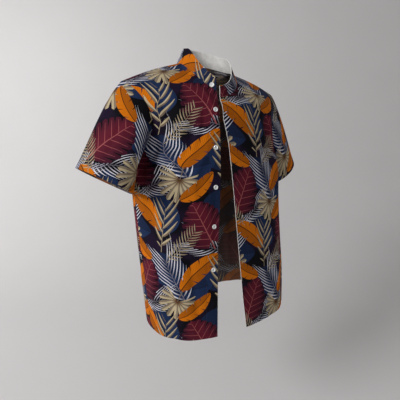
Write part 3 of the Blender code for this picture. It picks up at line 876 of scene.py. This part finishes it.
def draw_fern(along, beside):
    mask, _, half = leaflets(along, beside, FERN)
    return half.over(0.0).mix(BEIGE, TAUPE), mask


def draw_spray(along, beside):
    mask, _, half = leaflets(along, beside, SPRAY)
    return half.over(0.0).mix(TAUPE, BEIGE), mask


SPLITS = 5.6
SPLIT_SLANT = 0.62
SPLIT_FOOT = 0.16


def draw_split_leaf(along, beside):
    """A heart-shaped leaf, with dark slits between its side veins that widen towards the edge."""
    away = abs(beside)
    back = (along + SPLIT_FOOT) * (1 / (1 + SPLIT_FOOT))
    part = away / oval(back, 0.45, 0.62, 0.98).at_least(0.001)
    vein = (along - away * SPLIT_SLANT + beside.over(0.0) * 0.05) * SPLITS
    beat = abs(vein.fraction() - 0.5) * 2.0
    slit = beat.over(1.03 - part.ramp(0.46, 1.0) * 0.30)
    notch = (along + away * 1.1).over(0.0)
    edge = (part + (1.0 - beat) * -0.10 + 0.04).under(1.0)
    rib = beat.under(0.085 - part * 0.06) * part.between(0.04, 0.86)
    midrib = away.under((1.0 - along * 0.8) * 0.014) * along.between(-0.24, 0.93)
    colour = (part.ramp(0.15, 1.0) * 0.7 + beside.over(0.0) * 0.25).mix(MAROON, PLUM)
    colour = slit.mix(rib.mix(colour, ROSE), INK)
    return midrib.mix(colour, ROSE), (edge * notch * back.between(0.0, 1.0)).at_least(midrib)


PLEATS = 8.0
FAN_OPENING = 2.15
FAN_STALK = 0.42


def draw_fan_palm(along, beside):
    """A round pleated leaf on a stalk, its segments parting towards their points."""
    ahead = along - FAN_STALK
    away = abs(beside)
    angle = away.angle_from(ahead)
    pleat = angle * (PLEATS / pi)
    beat = abs(pleat.fraction() - 0.5) * 2.0
    part = (ahead * ahead + away * away).root() / (0.58 - angle * 0.05 - beat * 0.09)
    parted = beat.over(1.02 - part.ramp(0.5, 1.0) * 0.40)
    mask = part.under(1.0) * angle.under(FAN_OPENING) * (1.0 - parted)
    lit = (pleat.fraction().over(0.5) * 0.8).mix(BEIGE, TAUPE)
    stalk = abs(beside - ahead * ahead * 0.25).under(0.011) * along.between(0.0, FAN_STALK + 0.01)
    return stalk.mix(part.ramp(0.0, 0.45).mix(BROWN, lit), TAUPE), mask.at_least(stalk)


def draw_banana(along, beside):
    """A long oval leaf with close side veins, torn in from its edge here and there."""
    off = beside + along * (1.0 - along) * 0.30
    away = abs(off)
    vein = along - away * 0.55
    part = away / oval(along, 0.50, 0.60, 0.39).at_least(0.001)
    tear = abs((vein * 4.7 + off.over(0.0) * 0.45).fraction() - 0.5).under(part.ramp(0.35, 1.0) * 0.055)
    mask = part.under(1.0) * along.between(0.0, 1.0) * (1.0 - tear)
    colour = (off.over(0.0) * 0.75 + along * 0.15).mix(ORANGE, DARK_ORANGE)
    colour = ((vein * 26.0).fraction().under(0.22) * 0.30).mix(colour, BROWN)
    midrib = away.under(0.009) * along.between(0.0, 0.97)
    return midrib.mix(colour, BROWN), mask


def draw_shade_leaf(along, beside):
    """A broad plain leaf that shows behind the rest."""
    away = abs(beside)
    mask = (oval(along, 0.45, 0.75, 0.80) - away).ramp(-0.004, 0.012) * along.between(0.0, 1.0)
    vein = ((along - away * 0.7) * 9.0).fraction().under(0.10) * 0.5
    colour = (beside.over(0.0) * 0.55 + along * 0.2).mix(BLUE, DEEP_BLUE)
    return away.under(0.010).mix(vein.mix(colour, DEEP_BLUE), DEEP_BLUE), mask


DRAWINGS = {
    "shade_leaf": draw_shade_leaf,
    "fern": draw_fern,
    "palm": draw_palm,
    "fan_palm": draw_fan_palm,
    "split_leaf": draw_split_leaf,
    "spray": draw_spray,
    "banana": draw_banana,
}


def print_group():
    """A node group that takes a place in the flat cloth and gives the print's colour there."""
    drawings = {kind: motif_group(kind, draw) for kind, draw in DRAWINGS.items()}
    tree, inputs, outputs = new_group("leaf_print", {"Place": "Vector"}, {"Color": "Color"})
    across, up = parts_of(tree, inputs["Place"])
    colour = noise(tree, inputs["Place"], scale=14.0).ramp(0.40, 0.62).mix(INK, PURPLE)
    for motif in MOTIFS:
        for drop, side in ((0.0, 1), (PRINT_REPEAT / 2, -1)):
            turn = radians(motif.turn if side > 0 else 180 - motif.turn)
            right = (across - (motif.x + drop)).wrapped(PRINT_REPEAT / 2)
            above = (up - (motif.y + drop)).wrapped(PRINT_REPEAT / 2)
            along = right * (cos(turn) / motif.length) + above * (sin(turn) / motif.length) + 0.5
            beside = above * (cos(turn) / motif.length) - right * (sin(turn) / motif.length)
            group = add_node(tree, "Group")
            group.node_tree = drawings[motif.kind]
            fill(tree, group.inputs["Along"], along)
            fill(tree, group.inputs["Beside"], beside * float(side))
            colour = Number(tree, group.outputs["Mask"]).mix(colour, group.outputs["Color"])
    fill(tree, outputs["Color"], colour)
    return tree


WEAVE_PITCH = 0.00042
WEAVE_DEPTH = 0.0001
WEAVE_STRENGTH = 0.35
SLUB_SCALE = 900.0
SLUB_SHARE = 0.8


def new_material(name, **settings):
    """A material, its node tree and its shader; a setting's name has _ for a space."""
    material = bpy.data.materials.new(name)
    material.use_nodes = True
    shader = material.node_tree.nodes["Principled BSDF"]
    for setting, value in settings.items():
        fill(material.node_tree, shader.inputs[setting.replace("_", " ")], value)
    return material, material.node_tree, shader


def mottle(tree, shader, share, colour, darkest):
    """Colour a surface from a darker tone, where share is 0, to the colour itself, where it is 1."""
    darker = tuple(part * darkest for part in colour)
    fill(tree, shader.inputs["Base Color"], share.mix(darker, colour))


def weave(tree, shader):
    """Bump of a plain weave, with a little unevenness; gives the place in the flat cloth."""
    uv_map = add_node(tree, "UVMap")
    uv_map.uv_map = "cloth"
    place = uv_map.outputs["UV"]
    warp, weft = ((part * (2 * pi / WEAVE_PITCH)).sine() for part in parts_of(tree, place))
    height = warp * weft + noise(tree, place, SLUB_SCALE) * SLUB_SHARE
    bump = add_node(tree, "Bump", Strength=WEAVE_STRENGTH, Distance=WEAVE_DEPTH, Height=height)
    fill(tree, shader.inputs["Normal"], bump.outputs["Normal"])
    return place


def printed_material(name, leaf_print, washed):
    material, tree, shader = new_material(name, Roughness=0.80, Specular_IOR_Level=0.10)
    group = add_node(tree, "Group")
    group.node_tree = leaf_print
    fill(tree, group.inputs["Place"], weave(tree, shader))
    fill(tree, shader.inputs["Base Color"], mixed(tree, washed, group.outputs["Color"], WASHED))
    return material


def plain_cloth(name, colour):
    material, tree, shader = new_material(name, Roughness=0.8, Sheen_Weight=0.1)
    share = noise(tree, weave(tree, shader), scale=60.0).ramp(0.3, 0.7)
    mottle(tree, shader, share, colour, darkest=0.93)
    return material


def thread_material(name, colour):
    material, tree, shader = new_material(name, Roughness=0.7, Sheen_Weight=0.2)
    place = add_node(tree, "TexCoord").outputs["Object"]
    ply = add_node(tree, "TexWave", Vector=place, Scale=900.0)
    mottle(tree, shader, Number(tree, ply.outputs["Fac"]), colour, darkest=0.7)
    return material


def button_material():
    material, tree, shader = new_material(
        "button_white", Roughness=0.22, Coat_Weight=0.3, Subsurface_Weight=0.05
    )
    place = add_node(tree, "TexCoord").outputs["Object"]
    swirl = noise(tree, place, scale=160.0, distortion=1.5).ramp(0.35, 0.65)
    mottle(tree, shader, swirl, BUTTON_WHITE, darkest=0.92)
    return material


# ---- Cloth pieces ----
def moved_out(grid, shift, outward, is_ring=False):
    return grid + grid_normals(grid, outward, is_ring) * shift[:, :, None]


def front_cloth(name, side):
    grid, acrosses = front_grid(side)
    flat = flat_cut(grid, 0, False)
    shift = fold_shift(name, grid, acrosses, ROW_UPS) * body_calm(acrosses)
    from_edge, height = flat[:, :, 0], flat[:, :, 1]
    shift += sewn_dent(height - HEM_WIDTH, from_edge)
    shift += sewn_dent(from_edge - FACING_WIDTH, height)
    shift += sewn_dent(from_edge - EDGE_STITCH, height)
    turned = (height < HEM_WIDTH) | (from_edge < FACING_WIDTH)
    wall = np.where(turned, HEM_CLOTH, CLOTH)
    return Cloth(name, moved_out(grid, shift, side), flat * np.array([side, 1]), side, False, wall)


def back_cloth():
    grid, acrosses = back_grid()
    flat = flat_cut(grid, grid.shape[1] // 2, False)
    shift = fold_shift("back", grid, acrosses, ROW_UPS) * body_calm(acrosses)
    height = flat[:, :, 1]
    shift += sewn_dent(height - HEM_WIDTH, flat[:, :, 0])
    wall = np.where(height < HEM_WIDTH, HEM_CLOTH, CLOTH)
    return Cloth("back", moved_out(grid, shift, -1), flat * np.array([-1, 1]), -1, False, wall)


def sleeve_cloth(sleeve, hole_front, hole_back):
    grid, arounds = sleeve_grid(sleeve, hole_front, hole_back)
    top = int(np.argmin(np.abs(arounds[0] - 0.5)))
    flat = flat_cut(grid, top, True)
    flat[:, :, 1] = flat[-1:, :, 1] - flat[:, :, 1]
    flat[:, :, 0] *= sleeve.side
    downs = np.linspace(0, 1, SLEEVE_ROWS + 1)
    shift = fold_shift(sleeve.name, grid, arounds, downs) * smooth_step(downs / SLEEVE_CALM)[:, None]
    height = flat[:, :-1, 1]
    shift += sewn_dent(height - SLEEVE_HEM_WIDTH, flat[:, :-1, 0])
    wall = np.where(height < SLEEVE_HEM_WIDTH, HEM_CLOTH, CLOTH)
    return Cloth(sleeve.name, moved_out(grid, shift, -sleeve.side, True), flat, -sleeve.side, True, wall)


def collar_cloth(neckline):
    grid = collar_grid(neckline)
    flat = flat_cut(grid, 0, False)
    flat[:, :, 0] = flat[:1, :, 0]
    along, height = flat[:, :, 0], flat[:, :, 1]
    inset = np.minimum(height[-1:] - height, np.minimum(along, along[:, -1:] - along))
    shift = sewn_dent(inset - EDGE_STITCH, along) + sewn_dent(height - EDGE_STITCH, along)
    wall = np.full(grid.shape[:2], COLLAR_CLOTH)
    return Cloth("collar", moved_out(grid, shift, -1), flat * np.array([-1, 1]), -1, False, wall)


# ---- Buttons and buttonholes ----
# A button's turned outline, from the middle of its face to the middle of its back: shares of its radius
# and of its thickness.
BUTTON_FACE = ((0.0, 0.35), (0.50, 0.36), (0.60, 0.44), (0.68, 0.78), (0.76, 0.94), (0.86, 0.99))
BUTTON_RIM = ((0.94, 0.90), (0.99, 0.68), (1.0, 0.42), (0.95, 0.18))
BUTTON_BACK = ((0.82, 0.04), (0.60, 0.0), (0.0, 0.0))
BUTTON_OUTLINE = BUTTON_FACE + BUTTON_RIM + BUTTON_BACK
BUTTON_SIDES = 48
HOLE_RADIUS = 0.0008
HOLE_SPACING = 0.0023
HOLE_SIDES = 16
WELD_DISTANCE = 0.00001
# The two layers of thread between a button's holes: a shift aside, and a share of the button's height.
THREAD_LAYERS = ((-0.00018, 0.40), (0.00018, 0.52))
BUTTON_THREAD_LENGTH = 1.25 * HOLE_SPACING
BUTTON_THREAD_RISE = -0.025 * HOLE_SPACING
BUTTON_THREAD_RADIUS = 0.00028
# A buttonhole is two rows of short bars beside its slit, and a few full bars at each end.
SLIT_SHARE = 0.12
BAR_PITCH = 0.0006
BAR_RADIUS = 0.00022
END_BARS = 4
END_BAR_PITCH = 0.0004
# How far above a buttonhole the place lies that it points at.
AIM_ABOVE = 0.004


def button_mesh(material):
    """A turned four-hole button with a dished middle, its back on the ground plane."""
    points = []
    for radius, height in BUTTON_OUTLINE:
        for side in range(BUTTON_SIDES):
            angle = 2 * pi * side / BUTTON_SIDES
            reach = radius * BUTTON_DIAMETER / 2
            points.append((reach * cos(angle), reach * sin(angle), height * BUTTON_THICKNESS))
    mesh = new_mesh("button", points, ring_faces(0, len(BUTTON_OUTLINE), BUTTON_SIDES))
    mesh.validate()
    body = add_object("button_blank", mesh)
    body.modifiers.new("weld", "WELD").merge_threshold = WELD_DISTANCE
    used = [body]
    for x, y in product((-HOLE_SPACING / 2, HOLE_SPACING / 2), repeat=2):
        bpy.ops.mesh.primitive_cylinder_add(
            vertices=HOLE_SIDES,
            radius=HOLE_RADIUS,
            depth=BUTTON_THICKNESS * 2,
            location=(x, y, BUTTON_THICKNESS / 2),
        )
        used.append(bpy.context.object)
        cut = body.modifiers.new("hole", "BOOLEAN")
        cut.object = used[-1]
        cut.operation = "DIFFERENCE"
    depsgraph = bpy.context.evaluated_depsgraph_get()
    finished = bpy.data.meshes.new_from_object(body.evaluated_get(depsgraph))
    for item in used:
        bpy.data.objects.remove(item, do_unlink=True)
    finished.materials.clear()
    finished.materials.append(material)
    finished.shade_smooth()
    finished.set_sharp_from_angle(angle=SHARP_ANGLE)
    return finished


def frame_on(place, normal):
    """A matrix whose Z is the cloth's normal there, and whose Y points as far up as it can."""
    z = Vector(normal)
    y = (Vector((0, 0, 1)) - z * z.z).normalized()
    matrix = Matrix((y.cross(z), y, z)).transposed().to_4x4()
    matrix.translation = Vector(place)
    return matrix


def button_threads(matrix):
    """Two layers of thread between each pair of holes, one above the other."""
    way, normal = (np.array(matrix.col[axis][:3]) for axis in (1, 2))
    threads = []
    for x in (-HOLE_SPACING / 2, HOLE_SPACING / 2):
        for shift, lift in THREAD_LAYERS:
            middle = matrix @ Vector((x + shift, BUTTON_THREAD_RISE, lift * BUTTON_THICKNESS))
            threads.append(Thread(np.array(middle), way, normal, BUTTON_THREAD_LENGTH))
    return threads


def add_buttons(cloths, material, thread):
    """Buttons at the solids' places, moved to rest on the highest cloth under them."""
    mesh = button_mesh(material)
    both = np.concatenate([surface(cloth).reshape(-1, 6) for cloth in cloths])
    reach = BUTTON_DIAMETER / 2
    for number in range(1, 2 + len(BUTTON_HEIGHTS)):
        node = f"button_{number}"
        middle = np.mean(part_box(node), axis=0)
        offset = both[:, :3] - middle
        normal = both[np.linalg.norm(offset, axis=1).argmin(), 3:]
        rise = offset @ normal
        beside = np.linalg.norm(offset - rise[:, None] * normal, axis=1)
        under = (beside < reach) & (np.abs(rise) < reach)
        matrix = frame_on(middle + normal * (rise[under].max() + BUTTON_GAP), normal)
        link(f"{node}_turned", mesh, [node]).matrix_world = matrix
        add_threads(f"{node}_thread", button_threads(matrix), thread, BUTTON_THREAD_RADIUS)


def buttonhole_bars():
    """Each bar's place along a buttonhole, and where across it the bar starts and ends."""
    half = BUTTONHOLE_WIDTH / 2
    steps = int(BUTTONHOLE_LENGTH / BAR_PITCH)
    bars = []
    for side in (-1, 1):
        for step in range(steps):
            along = (step / steps - 0.5) * BUTTONHOLE_LENGTH
            bars.append((along, side * SLIT_SHARE * BUTTONHOLE_WIDTH, side * half))
        for step in range(END_BARS):
            bars.append((side * (BUTTONHOLE_LENGTH / 2 + step * END_BAR_PITCH), -half, half))
    return bars


def add_buttonholes(cloth, thread):
    """Close-sewn slits along the left front's edge, level with the buttons."""
    run = line_at_inset(cloth, BUTTON_INSET)
    threads = []
    for height in BUTTON_HEIGHTS:
        here, above = (read_at(z, run[:, 2], run) for z in (height, height + AIM_ABOVE))
        ahead, normal = unit((above - here)[:3]), unit(here[3:])
        beside = np.cross(ahead, normal)
        for along, start, end in buttonhole_bars():
            middle = here[:3] + ahead * along + beside * (start + end) / 2
            length = abs(end - start) * np.linalg.norm(beside)
            threads.append(Thread(middle, unit(beside * (end - start)), normal, length))
    add_threads("front_left_buttonholes", threads, thread, BAR_RADIUS)


# ---- The stage ----
# The floor runs back and turns up into a wall, square to the camera. Places on the stage are distances
# to the camera's right, towards the camera and up.
FLOOR_HEIGHT = -1.25
FLOOR_FRONT = 5.0
WALL_DISTANCE = 2.6
WALL_CURVE = 1.6
WALL_CURVE_STEPS = 24
WALL_TOP = 5.0
STAGE_HALF_WIDTH = 7.0
CAMERA_TURN = -33.5
CAMERA_PITCH = 11.1
CAMERA_DISTANCE = 0.94
CAMERA_TARGET = (-0.021, 0.0, -0.360)
PICTURE_WIDTH = 400
FOCAL_PIXELS = 330.0
SENSOR = 36.0

Lamp = namedtuple("Lamp", "name place aim size power")
LAMPS = (
    Lamp("key", (-2.1, 1.9, 1.0), (0.0, 0.0, -0.33), 1.0, 66.0),
    Lamp("fill", (2.0, 2.4, 0.3), (0.0, 0.0, -0.33), 2.4, 7.0),
    Lamp("wall_wash", (-2.6, -0.4, 0.7), (-1.9, -2.6, 0.1), 1.4, 26.0),
)
WORLD_STRENGTH = 0.38


def on_stage(right, near, up):
    turn = radians(CAMERA_TURN)
    return Vector((cos(turn) * right + sin(turn) * near, sin(turn) * right - cos(turn) * near, up))


def add_camera():
    pitch = radians(CAMERA_PITCH)
    right, back = on_stage(1, 0, 0), on_stage(0, cos(pitch), sin(pitch))
    data = bpy.data.cameras.new("camera")
    data.sensor_width = SENSOR
    data.lens = FOCAL_PIXELS / PICTURE_WIDTH * SENSOR
    camera = add_object("camera", data)
    matrix = Matrix((right, back.cross(right), back)).transposed().to_4x4()
    matrix.translation = on_stage(*CAMERA_TARGET) + back * CAMERA_DISTANCE
    camera.matrix_world = matrix
    bpy.context.scene.camera = camera


def add_lights():
    for lamp in LAMPS:
        data = bpy.data.lights.new(lamp.name, "AREA")
        data.shape = "DISK"
        data.size = lamp.size
        data.energy = lamp.power
        light = add_object(lamp.name, data)
        light.location = on_stage(*lamp.place)
        light.rotation_mode = "QUATERNION"
        light.rotation_quaternion = (on_stage(*lamp.aim) - light.location).to_track_quat("-Z", "Y")
    world = bpy.data.worlds.new("studio")
    world.use_nodes = True
    background = world.node_tree.nodes["Background"]
    background.inputs["Color"].default_value = linear(STUDIO)
    background.inputs["Strength"].default_value = WORLD_STRENGTH
    bpy.context.scene.world = world
    bpy.context.scene.view_settings.view_transform = "Standard"


def add_stage():
    """A pale floor that curves up into a wall behind the shirt."""
    profile = [(FLOOR_FRONT, FLOOR_HEIGHT)]
    for step in range(WALL_CURVE_STEPS + 1):
        angle = pi / 2 * step / WALL_CURVE_STEPS
        near = WALL_CURVE - WALL_DISTANCE - WALL_CURVE * sin(angle)
        profile.append((near, FLOOR_HEIGHT + WALL_CURVE * (1 - cos(angle))))
    profile.append((-WALL_DISTANCE, WALL_TOP))
    points = [
        on_stage(right, near, up)
        for near, up in profile
        for right in (-STAGE_HALF_WIDTH, STAGE_HALF_WIDTH)
    ]
    faces = [[2 * row, 2 * row + 1, 2 * row + 3, 2 * row + 2] for row in range(len(profile) - 1)]
    mesh = new_mesh("backdrop", points, faces)
    mesh.shade_smooth()
    material, tree, shader = new_material("backdrop_paint", Roughness=0.9)
    place = add_node(tree, "TexCoord").outputs["Object"]
    mottle(tree, shader, noise(tree, place, scale=3.0), STUDIO, darkest=0.98)
    mesh.materials.append(material)
    add_object("backdrop", mesh)


# ---- The shirt ----
def cut_cloths():
    """Every piece of cloth in its place: the fronts by side, the back, the sleeves and the collar."""
    fronts = {side: front_cloth(name, side) for name, side in (("front_right", -1), ("front_left", 1))}
    back = back_cloth()
    sleeves = []
    for sleeve in SLEEVES:
        hole_front = fronts[sleeve.side].grid[ARMPIT_ROW:, -1]
        hole_back = back.grid[ARMPIT_ROW:, -1 if sleeve.side > 0 else 0]
        sleeves.append(sleeve_cloth(sleeve, hole_front, hole_back))
    right = fronts[-1].grid[-1, : NECK_COLUMNS + 1]
    behind = back.grid[-1, SHOULDER_COLUMNS + 1 : SHOULDER_COLUMNS + 2 * NECK_COLUMNS]
    left = fronts[1].grid[-1, NECK_COLUMNS::-1]
    return fronts, back, sleeves, collar_cloth(np.concatenate([right, behind, left]))


def stitched_lines(fronts, back, sleeves, collar):
    """The runs that each piece is stitched along, by its name."""
    lines = {}
    for cloth in fronts.values():
        top = cloth.flat[-1, 0, 1]
        lines[cloth.name] = [
            line_at_height(cloth, HEM_WIDTH),
            line_at_inset(cloth, FACING_WIDTH, HEM_WIDTH),
            line_at_inset(cloth, EDGE_STITCH, EDGE_STITCH, top - EDGE_STITCH),
        ]
    lines["back"] = [line_at_height(back, HEM_WIDTH)]
    for cloth in sleeves:
        lines[cloth.name] = [line_at_height(cloth, SLEEVE_HEM_WIDTH)]
    top = collar.flat[-1, :, 1].min()
    lines["collar"] = [line_at_height(collar, EDGE_STITCH), line_at_height(collar, top - EDGE_STITCH)]
    return lines


def make_shirt():
    leaf_print = print_group()
    outside = printed_material("leaf_print_cotton", leaf_print, 0.0)
    reverse = printed_material("leaf_print_reverse", leaf_print, 0.5)
    facing = plain_cloth("collar_facing", FACING)
    thread = thread_material("navy_thread", THREAD)
    white_thread = thread_material("white_thread", BUTTON_WHITE)
    fronts, back, sleeves, collar = cut_cloths()

    for cloth in (fronts[-1], fronts[1], back, *sleeves, collar):
        inside = facing if cloth.name == "collar" else reverse
        rim = facing if cloth.name in ("collar", "front_left") else outside
        mesh = shell(cloth, outside, inside, rim)
        link(f"{cloth.name}_cloth", mesh, [cloth.name])
    for name, runs in stitched_lines(fronts, back, sleeves, collar).items():
        stitches = [stitch for run in runs for stitch in stitches_along(run)]
        add_threads(f"{name}_stitches", stitches, thread)
    add_buttons([fronts[-1], collar], button_material(), white_thread)
    add_buttonholes(fronts[1], thread)


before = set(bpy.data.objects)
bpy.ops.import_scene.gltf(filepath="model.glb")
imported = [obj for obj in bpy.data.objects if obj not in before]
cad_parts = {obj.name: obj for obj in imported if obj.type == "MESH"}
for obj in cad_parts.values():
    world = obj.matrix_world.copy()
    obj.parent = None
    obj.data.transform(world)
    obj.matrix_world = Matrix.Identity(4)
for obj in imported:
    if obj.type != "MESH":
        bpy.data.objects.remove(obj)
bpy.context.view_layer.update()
make_shirt()
add_stage()
add_lights()
add_camera()
